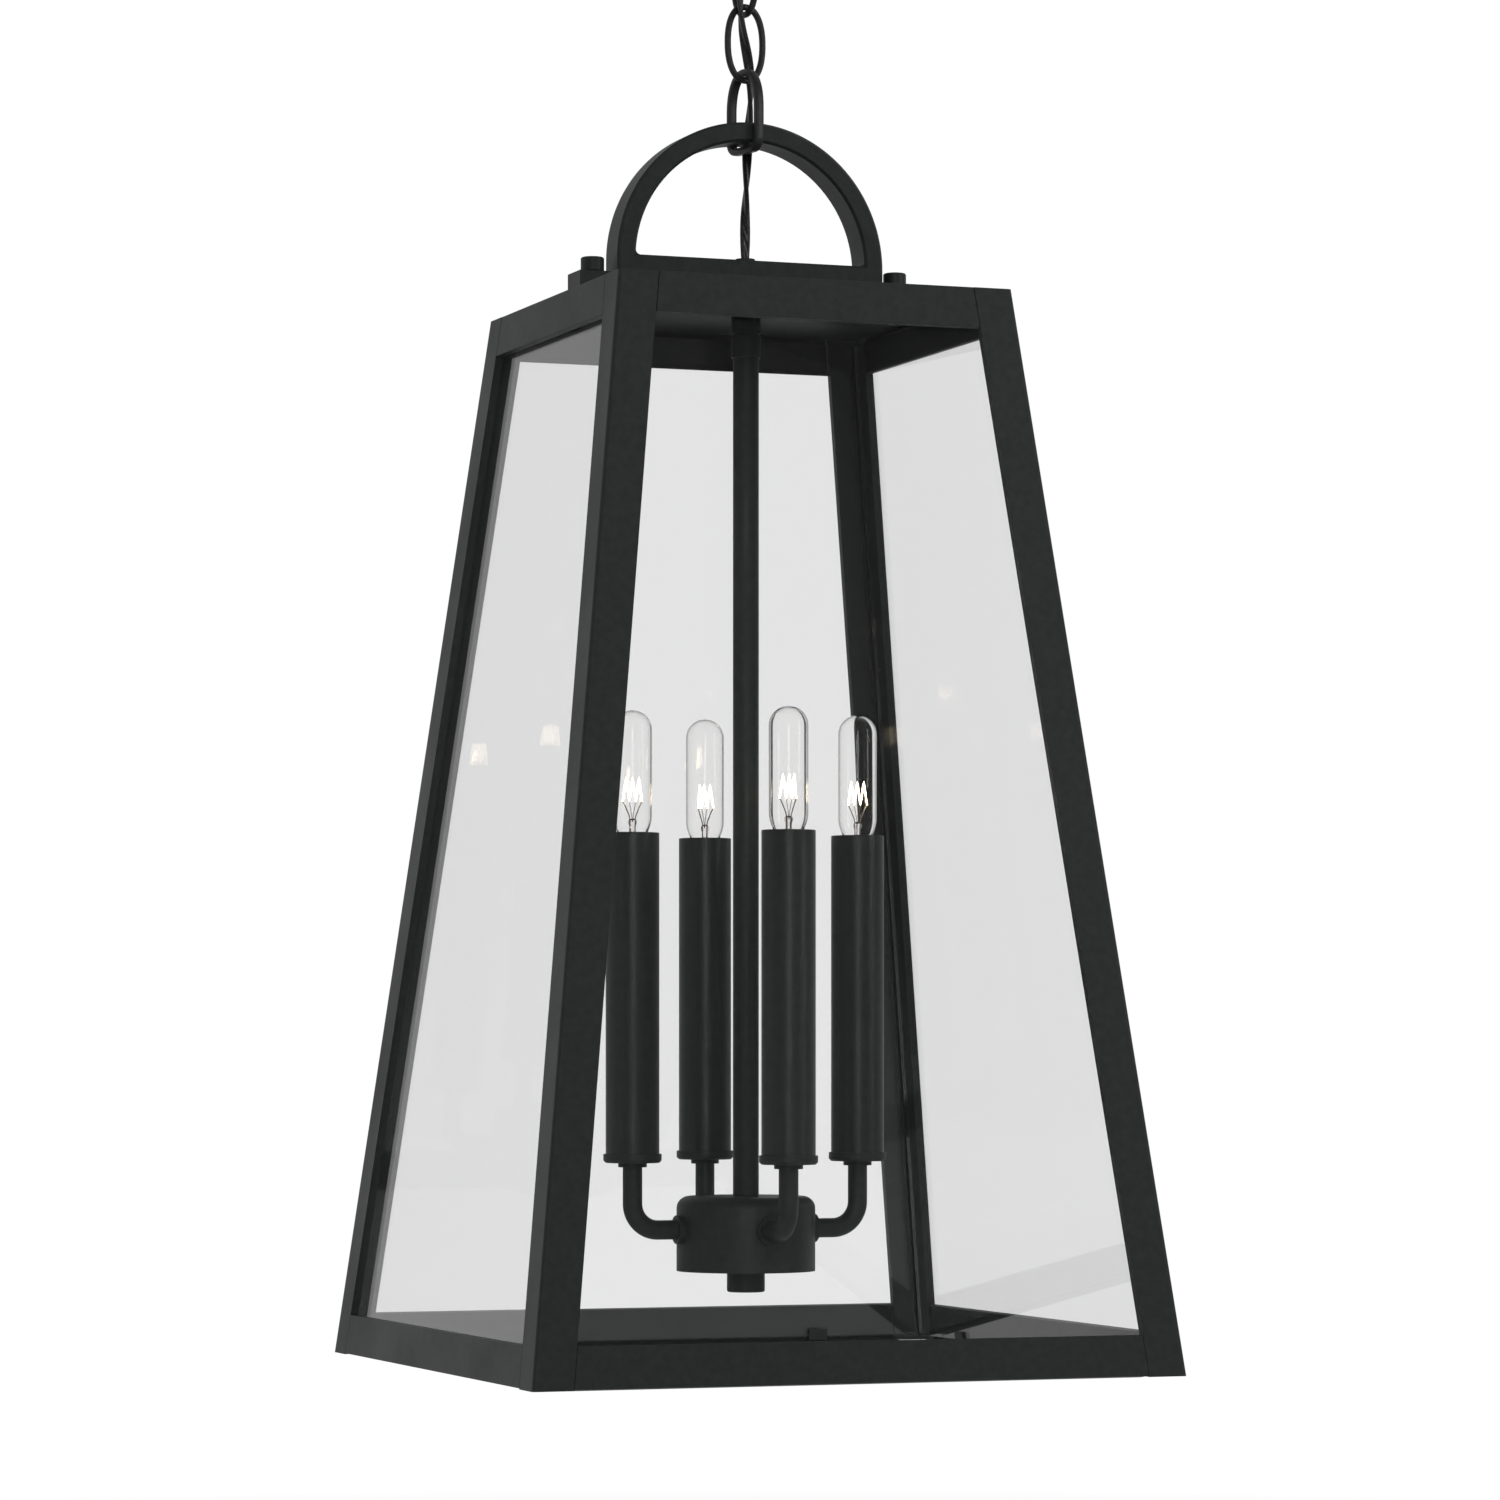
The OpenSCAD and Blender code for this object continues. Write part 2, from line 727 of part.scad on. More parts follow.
post_front_left();
post_front_right();
post_back_left();
post_back_right();
top_rail(0);  // top_rail_front
top_rail(1);  // top_rail_right
top_rail(2);  // top_rail_back
top_rail(3);  // top_rail_left
bottom_rail(0);  // bottom_rail_front
bottom_rail(1);  // bottom_rail_right
bottom_rail(2);  // bottom_rail_back
bottom_rail(3);  // bottom_rail_left
pane(0);  // glass_front
pane(1);  // glass_right
pane(2);  // glass_back
pane(3);  // glass_left
glass_clips();
top_plate();
cross_bar();
handle();
studs();
thumb_nut_left();
thumb_nut_right();
rod_coupler();
centre_rod();
hub_cup();
hub_cover();
hub_finial();
arm(0);  // arm_front
arm(1);  // arm_right
arm(2);  // arm_back
arm(3);  // arm_left
arm_collars();
candle_cups();
socket_stems();
sockets();
sleeve(0);  // sleeve_front
sleeve(1);  // sleeve_right
sleeve(2);  // sleeve_back
sleeve(3);  // sleeve_left
bulb_glass(0);  // bulb_glass_front
bulb_glass(1);  // bulb_glass_right
bulb_glass(2);  // bulb_glass_back
bulb_glass(3);  // bulb_glass_left
bulb_base(0);  // bulb_base_front
bulb_base(1);  // bulb_base_right
bulb_base(2);  // bulb_base_back
bulb_base(3);  // bulb_base_left
filament(0);  // filament_front
filament(1);  // filament_right
filament(2);  // filament_back
filament(3);  // filament_left
link_low();
link_mid();
link_high();
canopy();
canopy_loop();
canopy_brace();
stem_nut();
cord();
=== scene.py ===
"""Looks of the hanging lantern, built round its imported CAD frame. Metres, +Z up."""

import json
import math

import bmesh
import bpy
from mathutils import Matrix, Vector


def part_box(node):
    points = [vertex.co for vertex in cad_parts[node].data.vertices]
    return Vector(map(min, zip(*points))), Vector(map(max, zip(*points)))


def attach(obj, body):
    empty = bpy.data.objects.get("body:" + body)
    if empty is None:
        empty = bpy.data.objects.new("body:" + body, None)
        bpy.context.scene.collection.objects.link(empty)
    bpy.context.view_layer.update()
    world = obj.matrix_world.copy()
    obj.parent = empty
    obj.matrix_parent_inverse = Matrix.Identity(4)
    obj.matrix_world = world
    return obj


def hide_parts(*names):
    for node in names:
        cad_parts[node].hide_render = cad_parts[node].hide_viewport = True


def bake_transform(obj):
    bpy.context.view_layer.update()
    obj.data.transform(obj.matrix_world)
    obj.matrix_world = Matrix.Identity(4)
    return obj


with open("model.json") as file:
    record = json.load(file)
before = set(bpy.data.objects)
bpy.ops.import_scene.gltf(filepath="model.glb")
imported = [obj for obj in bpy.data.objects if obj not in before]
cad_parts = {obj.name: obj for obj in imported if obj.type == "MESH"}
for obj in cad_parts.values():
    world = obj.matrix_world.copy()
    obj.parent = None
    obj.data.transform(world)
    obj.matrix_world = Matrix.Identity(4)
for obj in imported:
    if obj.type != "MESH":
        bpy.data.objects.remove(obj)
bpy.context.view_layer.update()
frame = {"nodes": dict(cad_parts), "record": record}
nodes = frame["nodes"]

MM = 0.001
SIDES = ("front", "right", "back", "left")
POST_DROP = 0.5 * MM
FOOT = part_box("post_front_left")[0].z + POST_DROP


def up(height_mm):
    """The z of a height given in millimetres above the lower edge of the cage's rails."""
    return FOOT + height_mm * MM


# ---- Camera ----

SENSOR_MM = 36
LENS_MM = 127.44
# share of the picture's height by which the view is shifted up, so that uprights stay upright
SHIFT_UP = 0.19013
CAMERA_AWAY = 2.603
CAMERA_ASIDE = 0.0024
CAMERA_HEIGHT_MM = 160.5
CAMERA_TURN = math.radians(-20.424)


def add_camera():
    data = bpy.data.cameras.new("camera")
    data.sensor_width = SENSOR_MM
    data.lens = LENS_MM
    data.shift_y = SHIFT_UP
    data.clip_start, data.clip_end = 0.05, 60
    camera = bpy.data.objects.new("camera", data)
    bpy.context.scene.collection.objects.link(camera)
    back = Vector((math.sin(CAMERA_TURN), -math.cos(CAMERA_TURN), 0))
    aside = Vector((math.cos(CAMERA_TURN), math.sin(CAMERA_TURN), 0))
    camera.location = back * CAMERA_AWAY + aside * CAMERA_ASIDE + Vector((0, 0, up(CAMERA_HEIGHT_MM)))
    camera.rotation_euler = (math.pi / 2, 0, CAMERA_TURN)
    bpy.context.scene.camera = camera


add_camera()

# ---- Mesh helpers ----


def add_mesh(name, points, faces, smooth=True, sharp_deg=40):
    """A new object from points in metres and faces, smooth but for edges sharper than sharp_deg."""
    mesh = bpy.data.meshes.new(name)
    mesh.from_pydata([tuple(p) for p in points], [], faces)
    bm = bmesh.new()
    bm.from_mesh(mesh)
    bmesh.ops.recalc_face_normals(bm, faces=bm.faces)
    bm.to_mesh(mesh)
    bm.free()
    if smooth:
        mesh.polygons.foreach_set("use_smooth", [True] * len(mesh.polygons))
        mesh.set_sharp_from_angle(angle=math.radians(sharp_deg))
    obj = bpy.data.objects.new(name, mesh)
    bpy.context.scene.collection.objects.link(obj)
    return obj


def joined(name, parts):
    """One object from several (points, faces) lists."""
    points, faces = [], []
    for part_points, part_faces in parts:
        base = len(points)
        points += part_points
        faces += [[base + i for i in face] for face in part_faces]
    return add_mesh(name, points, faces)


def spun(outline, steps=48, centre=(0, 0), closed=False):
    """Points and faces of an outline of (radius, z) spun about a vertical axis through centre."""
    count = len(outline)
    points = [
        Vector((centre[0] + r * math.cos(a), centre[1] + r * math.sin(a), z))
        for a in (2 * math.pi * k / steps for k in range(steps))
        for r, z in outline
    ]
    rows = count if closed else count - 1
    faces = [
        [k * count + i, (k + 1) % steps * count + i,
         (k + 1) % steps * count + (i + 1) % count, k * count + (i + 1) % count]
        for k in range(steps)
        for i in range(rows)
    ]
    return points, faces


def frames_along(path, first_side):
    """A (side, other side) pair at each point of a path, carried along without turning."""
    pairs = []
    side = Vector(first_side)
    for i in range(len(path)):
        way = (path[min(i + 1, len(path) - 1)] - path[max(i - 1, 0)]).normalized()
        side = (side - way * side.dot(way)).normalized()
        pairs.append((side, way.cross(side)))
    return pairs


def swept(path, section, first_side, closed=False, turn=lambda i: 0.0):
    """Points and faces of a section of (u, v) swept along a path and turned at each point."""
    count, rings = len(section), len(path)
    if closed:
        way = [(path[(i + 1) % rings] - path[i - 1]).normalized() for i in range(rings)]
        normal = Vector(first_side).normalized()
        pairs = [(normal, w.cross(normal)) for w in way]
    else:
        pairs = frames_along(path, first_side)
    points = []
    for i, (centre, (side, other)) in enumerate(zip(path, pairs)):
        c, s = math.cos(turn(i)), math.sin(turn(i))
        for u, v in section:
            points.append(centre + side * (u * c - v * s) + other * (u * s + v * c))
    spans = rings if closed else rings - 1
    faces = [
        [i * count + k, i * count + (k + 1) % count,
         (i + 1) % rings * count + (k + 1) % count, (i + 1) % rings * count + k]
        for i in range(spans)
        for k in range(count)
    ]
    if not closed:
        faces += [list(range(count))[::-1], [(rings - 1) * count + k for k in range(count)]]
    return points, faces


def circle(radius, steps=16):
    return [(radius * math.cos(2 * math.pi * k / steps), radius * math.sin(2 * math.pi * k / steps))
            for k in range(steps)]


def smooth_path(points, steps=4):
    """A Catmull-Rom curve through the points."""
    ends = [points[0] * 2 - points[1], *points, points[-1] * 2 - points[-2]]
    path = []
    for i in range(1, len(ends) - 2):
        a, b, c, d = ends[i - 1:i + 3]
        for k in range(steps):
            t = k / steps
            path.append(0.5 * (2 * b + (c - a) * t + (2 * a - 5 * b + 4 * c - d) * t * t
                               + (3 * b - a - 3 * c + d) * t ** 3))
    return path + [points[-1].copy()]


# ---- Cord ----

CORD_ROUTE = (
    (-16, -10, 742), (-16, -10, 734), (-16, -10, 726), (-15, -9.5, 718), (-12, -8.4, 710),
    (-9, -7.1, 701), (-6.5, -6.1, 692), (-5, -5.6, 683), (-4.6, -5.4, 674), (-4.6, -5.2, 667),
    (-3.8, -4.6, 659), (-2.2, -2.6, 652), (0.1, 0.2, 646), (2.4, 3, 640), (4.4, 5.4, 633),
    (5.8, 8, 624.5), (6.5, 10.8, 615.8), (6.4, 12.4, 607.2), (5.9, 12.4, 599), (4.8, 10.4, 590.8),
    (3.3, 7, 582.5), (1.5, 3.1, 572.5), (0.3, 0.7, 563), (0, 0, 554), (0, 0, 546),
    (0, 0, 538), (0, 0, 530),
)
CORD_STEPS = 5
CORD_WIDTH = 5.0 * MM
CORD_CORE_R = 1.2 * MM
CORD_HALF_TURN = 46 * MM
CORD_FIRST_TURN = 0.35
# each stretch: the bodies at its lower and upper end, the route points of its lower and upper end, and a
# lower and an upper height in millimetres
CORD_STRETCHES = (
    ("lantern", "link_low", 26, 16, 574, 608),
    ("link_low", "link_mid", 16, 12, 616, 642),
    ("link_mid", "link_high", 12, 7, 648, 678),
    ("link_high", "canopy", 7, 0, 686, 718),
)


def cord_section():
    """Two round cores side by side with a web between them."""
    reach = CORD_WIDTH / 2 - CORD_CORE_R
    arc = [math.radians(a) for a in range(-125, 126, 25)]
    right = [(reach + CORD_CORE_R * math.cos(a), CORD_CORE_R * math.sin(a)) for a in arc]
    return right + [(-u, -v) for u, v in right]


def add_cord():
    """The cord as four stretches that meet inside the links, each running across one chain joint."""
    route = [Vector((x * MM, y * MM, up(z))) for x, y, z in CORD_ROUTE]
    path = smooth_path(route, CORD_STEPS)
    reached = [0.0]
    for a, b in zip(path, path[1:]):
        reached.append(reached[-1] + (b - a).length)
    whole = reached[-1]
    points, faces = swept(path, cord_section(), (0, 1, 0),
                          turn=lambda i: math.pi * (whole - reached[i]) / CORD_HALF_TURN + CORD_FIRST_TURN)
    count = len(cord_section())
    stretches = []
    for n, (low_body, high_body, last, first, low_mm, high_mm) in enumerate(CORD_STRETCHES):
        a, b = first * CORD_STEPS, last * CORD_STEPS
        some = points[a * count:(b + 1) * count]
        walls = [[i - a * count for i in face] for face in faces[a * count:b * count]]
        rings = b - a + 1
        caps = [list(range(count))[::-1], [(rings - 1) * count + k for k in range(count)]]
        stretch = add_mesh(f"cord_{n + 1}", some, walls + caps, sharp_deg=80)
        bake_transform(stretch)
        stretches.append(stretch)
    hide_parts("cord")
    return stretches


cords = add_cord()

# ---- Materials ----


class Material:
    """A node material under construction: a Principled shader with object coordinates to hand."""

    def __init__(self, name, base, roughness, **sockets):
        self.mat = bpy.data.materials.new(name)
        self.mat.use_nodes = True
        self.tree = self.mat.node_tree
        self.shader = self.tree.nodes["Principled BSDF"]
        self.out = self.tree.nodes["Material Output"]
        self.set(**{"Base Color": (*base, 1), "Roughness": roughness})
        self.set(**sockets)
        self.place = self.node("TexCoord").outputs["Object"]

    def set(self, **sockets):
        for name, value in sockets.items():
            self.shader.inputs[name.replace("_", " ")].default_value = value

    def node(self, kind, **settings):
        made = self.tree.nodes.new("ShaderNode" + kind)
        for name, value in settings.items():
            setattr(made, name, value)
        return made

    def link(self, source, target):
        self.tree.links.new(source, target)

    def noise(self, scale, detail=3, roughness=0.5, stretch=None):
        """A noise of scale features to the metre, 0 to 1, stretched by a factor along each axis."""
        made = self.node("TexNoise")
        made.inputs["Scale"].default_value = scale
        made.inputs["Detail"].default_value = detail
        made.inputs["Roughness"].default_value = roughness
        place = self.place
        if stretch:
            mapping = self.node("Mapping")
            mapping.inputs["Scale"].default_value = stretch
            self.link(place, mapping.inputs["Vector"])
            place = mapping.outputs["Vector"]
        self.link(place, made.inputs["Vector"])
        return made.outputs["Fac"]

    def ranged(self, source, low, high, start=0.3, end=0.7):
        """source from start to end, as a value from low to high."""
        made = self.node("MapRange")
        for name, value in (("From Min", start), ("From Max", end), ("To Min", low), ("To Max", high)):
            made.inputs[name].default_value = value
        self.link(source, made.inputs["Value"])
        return made.outputs["Result"]

    def blended(self, share, colour_a, colour_b):
        made = self.node("Mix", data_type="RGBA")
        made.inputs["A"].default_value = (*colour_a, 1)
        made.inputs["B"].default_value = (*colour_b, 1)
        self.link(share, made.inputs["Factor"])
        return made.outputs["Result"]

    def colour(self, share, colour_a, colour_b):
        self.link(self.blended(share, colour_a, colour_b), self.shader.inputs["Base Color"])

    def rough(self, source):
        self.link(source, self.shader.inputs["Roughness"])

    def bump(self, height, distance, strength=1.0, under=None):
        """Relief of distance metres; under is the bump that this one lies on."""
        made = self.node("Bump")
        made.inputs["Distance"].default_value = distance
        made.inputs["Strength"].default_value = strength
        self.link(height, made.inputs["Height"])
        if under:
            self.link(under.outputs["Normal"], made.inputs["Normal"])
        self.link(made.outputs["Normal"], self.shader.inputs["Normal"])
        return made

    def open_to_light(self, tint):
        """Lets light from lamps through, as clear glass does."""
        clear = self.node("BsdfTransparent")
        clear.inputs["Color"].default_value = (*tint, 1)
        mix = self.node("MixShader")
        self.link(self.node("LightPath").outputs["Is Shadow Ray"], mix.inputs[0])
        self.link(self.shader.outputs[0], mix.inputs[1])
        self.link(clear.outputs[0], mix.inputs[2])
        self.link(mix.outputs[0], self.out.inputs["Surface"])


def powder_coat(name, base, low, high, grain=1300, level=0.34, peel=0.5):
    """Satin powder coat of roughness low to high: a fine orange peel, with slow changes of tone."""
    m = Material(name, base, (low + high) / 2, Specular_IOR_Level=level)
    dark = tuple(0.86 * c for c in base)
    light = tuple(1.16 * c for c in base)
    m.colour(m.ranged(m.noise(260, 2), 0, 1), dark, light)
    m.rough(m.ranged(m.noise(14, 4), low, high))
    fine = m.bump(m.noise(grain, 2, 0.6), 0.09 * MM, peel)
    m.bump(m.noise(90, 2), 0.12 * MM, 0.25 * peel, under=fine)
    return m.mat


def clear_glass(name, tint, ior, shadow_tint, wave=0.0, mirrored=1.0):
    """Glass with faint smears; wave is the depth of its unevenness, mirrored how much it mirrors."""
    m = Material(name, tint, 0.0, IOR=ior, Transmission_Weight=1.0)
    m.set(Specular_Tint=(mirrored, mirrored, mirrored, 1))
    m.rough(m.ranged(m.noise(25, 3), 0.0, 0.02, 0.45, 0.75))
    if wave:
        m.bump(m.noise(16, 1), wave, 1.0)
    m.open_to_light(shadow_tint)
    return m.mat


def brushed_zinc():
    m = Material("plated_steel", (0.56, 0.56, 0.54), 0.35, Metallic=1.0)
    m.colour(m.ranged(m.noise(120, 3), 0, 1), (0.47, 0.48, 0.49), (0.66, 0.64, 0.58))
    m.rough(m.ranged(m.noise(900, 2, stretch=(1, 1, 0.1)), 0.25, 0.5))
    m.bump(m.noise(1600, 2, stretch=(1, 1, 0.1)), 0.03 * MM, 0.5)
    return m.mat


def brass():
    m = Material("screw_shell", (0.75, 0.55, 0.25), 0.3, Metallic=1.0)
    m.colour(m.ranged(m.noise(300, 4), 0, 1), (0.62, 0.43, 0.18), (0.83, 0.64, 0.33))
    m.rough(m.ranged(m.noise(180, 3), 0.2, 0.42))
    m.bump(m.noise(2500, 2), 0.02 * MM, 0.4)
    return m.mat


def moulded():
    m = Material("socket_cream", (0.70, 0.65, 0.54), 0.5)
    m.colour(m.ranged(m.noise(180, 4), 0, 1), (0.66, 0.60, 0.48), (0.74, 0.70, 0.60))
    m.rough(m.ranged(m.noise(400, 3), 0.42, 0.6))
    m.bump(m.noise(1500, 2), 0.03 * MM, 0.5)
    return m.mat


def jacket():
    m = Material("cord_black", (0.012, 0.012, 0.012), 0.3, IOR=1.5)
    m.colour(m.ranged(m.noise(500, 3), 0, 1), (0.009, 0.009, 0.009), (0.017, 0.017, 0.016))
    m.rough(m.ranged(m.noise(700, 3), 0.22, 0.4))
    m.bump(m.noise(2200, 2), 0.03 * MM, 0.4)
    return m.mat


def glowing(name, colour, strength, base=(0.8, 0.7, 0.6)):
    m = Material(name, base, 0.4)
    m.set(Emission_Color=(*colour, 1), Emission_Strength=strength)
    m.colour(m.ranged(m.noise(3000, 2), 0, 1), base, tuple(0.8 * c for c in base))
    m.rough(m.ranged(m.noise(2500, 2), 0.3, 0.5))
    return m.mat


def lead_wire():
    m = Material("lead_wire", (0.25, 0.22, 0.2), 0.35, Metallic=1.0)
    m.colour(m.ranged(m.noise(1500, 2), 0, 1), (0.16, 0.14, 0.13), (0.38, 0.32, 0.27))
    m.rough(m.ranged(m.noise(2500, 2), 0.25, 0.45))
    return m.mat


BLACK = (0.0190, 0.0238, 0.0220)
COATED = powder_coat("powder_black", BLACK, 0.42, 0.56)
CHAINED = powder_coat("powder_black_chain", (0.022, 0.023, 0.022), 0.3, 0.42, grain=1900)
TUBED = powder_coat("sleeve_black", (0.0180, 0.0222, 0.0200), 0.36, 0.42,
                    grain=2400, level=0.4, peel=0.15)
PANE = clear_glass("pane_glass", (0.942, 0.942, 0.944), 1.5, (0.9, 0.9, 0.9))
BULB = clear_glass("bulb_glass", (0.995, 0.995, 0.99), 1.45, (0.97, 0.97, 0.97),
                   wave=0.04 * MM, mirrored=0.4)
ZINC = brushed_zinc()
BRASS = brass()
CREAM = moulded()
JACKET = jacket()
HOT = glowing("filament", (1.0, 0.82, 0.58), 7)
STEM_GLASS = clear_glass("bulb_stem_glass", (0.97, 0.93, 0.93), 1.5, (0.9, 0.88, 0.88))
LEAD = lead_wire()
INSULATOR = powder_coat("insulator", (0.02, 0.018, 0.02), 0.15, 0.3)

FINISH = {
    "powder_black": COATED, "sleeve_black": TUBED, "pane_glass": PANE, "bulb_glass": BULB,
    "plated_steel": ZINC, "screw_shell": BRASS, "socket_cream": CREAM, "cord_black": JACKET,
    "filament": HOT,
}


def painted(obj, material):
    obj.data.materials.clear()
    obj.data.materials.append(material)
    return obj


for stretch in cords:
    painted(stretch, JACKET)

# ---- CAD pieces: softened edges and finishes ----


def cleaner():
    """Node group that joins a CAD mesh's split corners and drops its stored normals."""
    group = bpy.data.node_groups.new("clean", "GeometryNodeTree")
    group.interface.new_socket("Geometry", in_out="INPUT", socket_type="NodeSocketGeometry")
    group.interface.new_socket("Geometry", in_out="OUTPUT", socket_type="NodeSocketGeometry")
    start, end = group.nodes.new("NodeGroupInput"), group.nodes.new("NodeGroupOutput")
    merge = group.nodes.new("GeometryNodeMergeByDistance")
    merge.inputs["Distance"].default_value = 0.002 * MM
    drop = group.nodes.new("GeometryNodeRemoveAttribute")
    drop.inputs["Name"].default_value = "custom_normal"
    chain = [start, drop, merge, end]
    for a, b in zip(chain, chain[1:]):
        group.links.new(a.outputs[0], b.inputs[0])
    return group


CLEAN = cleaner()
# faces that meet at less than the first angle are joined, and edges sharper than the second are softened
FLAT_DEG, SHARP_DEG = 0.4, 32
# width in millimetres of the softened edges, by the first of these words in the node's name
OTHER_EDGE = 0.25
SOFT_EDGE = {
    "thumb_nut": 0.25, "studs": 0.2, "glass_clips": 0.12, "canopy_brace": 0.25, "stem_nut": 0.35,
    "hub": 0.35, "candle_cups": 0.25, "sleeve": 0.22, "rod_coupler": 0.3, "arm_collars": 0.4, "canopy": 0.4,
    "glass": 0.25, "handle": 0.45, "top_plate": 0.25, "cross_bar": 0.5, "post": 0.3, "rail": 0.3,
}
# nodes that keep their edges: round tubes, and those that other pieces take the place of
UNEASED = ("bulb", "filament", "link", "cord", "arm_front", "arm_right", "arm_back", "arm_left")


def soften(obj, width_mm):
    """Rounds the sharp edges of a CAD node by width_mm, as a modifier."""
    clean = obj.modifiers.new("clean", "NODES")
    clean.node_group = CLEAN
    flat = obj.modifiers.new("flat", "DECIMATE")
    flat.decimate_type = "DISSOLVE"
    flat.angle_limit = math.radians(FLAT_DEG)
    bevel = obj.modifiers.new("soft", "BEVEL")
    bevel.width = width_mm * MM
    bevel.segments = 3
    bevel.limit_method = "ANGLE"
    bevel.angle_limit = math.radians(SHARP_DEG)
    bevel.harden_normals = True
    bevel.use_clamp_overlap = True


def dress_cad():
    slots = {s["node"]: s["material_slot"] for s in frame["record"]["subparts"]}
    for name, obj in nodes.items():
        obj.data.materials.clear()
        obj.data.materials.append(FINISH[slots[name]])
        if not name.startswith(UNEASED):
            soften(obj, next((w for part, w in SOFT_EDGE.items() if part in name), OTHER_EDGE))


dress_cad()

# ---- Chain ----

LINK_POINTS = 56
LINK_BOW = 2.25


def bowed(a, half_width, half_length):
    """A point at angle a of a link's centreline, in the XZ plane, where its sides bow a little."""
    c, s = math.cos(a), math.sin(a)
    return Vector((math.copysign(abs(c) ** (2 / LINK_BOW), c) * half_width, 0,
                   math.copysign(abs(s) ** (2 / LINK_BOW), s) * half_length))


def oval(length, width):
    """Centreline of a link with bowed sides."""
    return [bowed(2 * math.pi * k / LINK_POINTS, width / 2, length / 2) for k in range(LINK_POINTS)]


def flat_footed(length, width, corner=5 * MM):
    """Centreline of a link with straight lower sides and a flat lower end between two tight corners."""
    half, foot = width / 2, -length / 2 + corner
    path = [bowed(math.pi * k / 36, half, length / 2) for k in range(37)]
    path += [Vector((-half, 0, foot * k / 4)) for k in range(1, 4)]
    turns = [math.radians(9 * k) for k in range(11)]
    inner = half - corner
    path += [Vector((-inner - corner * math.cos(t), 0, foot - corner * math.sin(t))) for t in turns]
    path += [Vector((x * inner, 0, -length / 2)) for x in (-0.5, 0, 0.5)]
    path += [Vector((inner + corner * math.sin(t), 0, foot - corner * math.cos(t))) for t in turns]
    return path + [Vector((half, 0, foot * k / 4)) for k in (3, 2, 1)]


def rounded_band(wide, thick, corner, steps=5):
    """Section of a flat band with round corners: u across its width, v across its thickness."""
    points = []
    for cu, cv, first in ((1, 1, 0), (-1, 1, 90), (-1, -1, 180), (1, -1, 270)):
        for k in range(steps):
            a = math.radians(first + 90 * k / (steps - 1))
            points.append((cu * (wide / 2 - corner) + corner * math.cos(a),
                           cv * (thick / 2 - corner) + corner * math.sin(a)))
    return points


ROUND_BAR = circle(1.6 * MM, 18)
FLAT_BAR = rounded_band(4.8 * MM, 3.4 * MM, 1.2 * MM)
CHAIN_TURN = 12
# each link: its turn about the vertical, its centreline and its section
LINKS = {
    "link_low": (CHAIN_TURN + 90, flat_footed(38.0 * MM, 24.8 * MM), FLAT_BAR),
    "link_mid": (CHAIN_TURN, oval(36.0 * MM, 20.1 * MM), ROUND_BAR),
    "link_high": (CHAIN_TURN + 90, oval(36.0 * MM, 20.1 * MM), ROUND_BAR),
}


def add_link(name, turn, path, section):
    """A link in the place of its CAD node, with bowed sides in place of straight ones."""
    low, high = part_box(name)
    place = Matrix.Translation((low + high) / 2) @ Matrix.Rotation(math.radians(turn), 4, "Z")
    points, faces = swept(path, section, (0, 1, 0), closed=True)
    link = add_mesh(name + "_bar", [place @ p for p in points], faces, sharp_deg=60)
    painted(link, CHAINED)
    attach(link, name)
    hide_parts(name)


for link_name, facts in LINKS.items():
    add_link(link_name, *facts)

# ---- Bulbs ----

CANDLE_R = 58.8 * MM
BULB_NECK = 251.2
BULB_R = 9.5
BULB_TOP = 318.4
BULB_WALL = 0.7
# radius and height above the neck of the glass where it narrows into its cap
BULB_TAPER = (
    (5.6, 0), (5.75, 1.2), (6.2, 3.4), (7.0, 6.4), (7.9, 9), (8.75, 11.4), (9.25, 13.4), (9.45, 15.2),
)
# radius that stands in for nought where an outline meets its axis
ON_AXIS = 0.02
PINCH_Z = 264
FOLD_LOW, FOLD_HIGH = 274, 285.5
FOLD_X = 4.7
FOLD_DEPTH, FOLD_ARC, FOLD_BACK = 1.6, 1.4, 0.9
COIL_R = 0.42
SHELL_R = 5.9
SHELL_LOW, SHELL_HIGH = 234.2, 251
THREAD_PITCH, THREAD_DEPTH = 2.54, 0.42
# the way each bulb happens to have been screwed home
BULB_TURNS = {"front": 190, "right": 150, "back": 125, "left": 165}


def bulb_outline(inset):
    """Half outline of the bulb in millimetres, from the neck to the top."""
    r = BULB_R - inset
    straight = BULB_TOP - BULB_R
    neck = [(x - inset, BULB_NECK + z + (inset if z == 0 else 0)) for x, z in BULB_TAPER]
    quarter = [math.radians(9 * k) for k in range(10)]
    dome = [(r * math.cos(a), straight + r * math.sin(a)) for a in quarter]
    return neck + dome[:-1] + [(ON_AXIS, straight + r)]


def in_mm(outline):
    return [(r * MM, up(z)) for r, z in outline]


def wire(path, radius, place, steps=8):
    return swept([place @ Vector((x * MM, y * MM, up(z))) for x, y, z in path], circle(radius * MM, steps),
                 (0, 1, 0.01))


def fold_path():
    """The filament's zigzag: six slanting strokes on a shallow arc seen from above."""
    def bent(x):
        return FOLD_DEPTH * math.cos(x / FOLD_X * FOLD_ARC) - FOLD_BACK

    corners = [(FOLD_X * (k / 3 - 1), FOLD_HIGH if k % 2 else FOLD_LOW) for k in range(7)]
    path = []
    for (xa, za), (xb, zb) in zip(corners, corners[1:]):
        for k in range(6):
            t = k / 6
            x, z = xa + (xb - xa) * t, za + (zb - za) * t
            path.append((x, bent(x), z))
    end_x, end_z = corners[-1]
    return path + [(end_x, bent(end_x), end_z)]


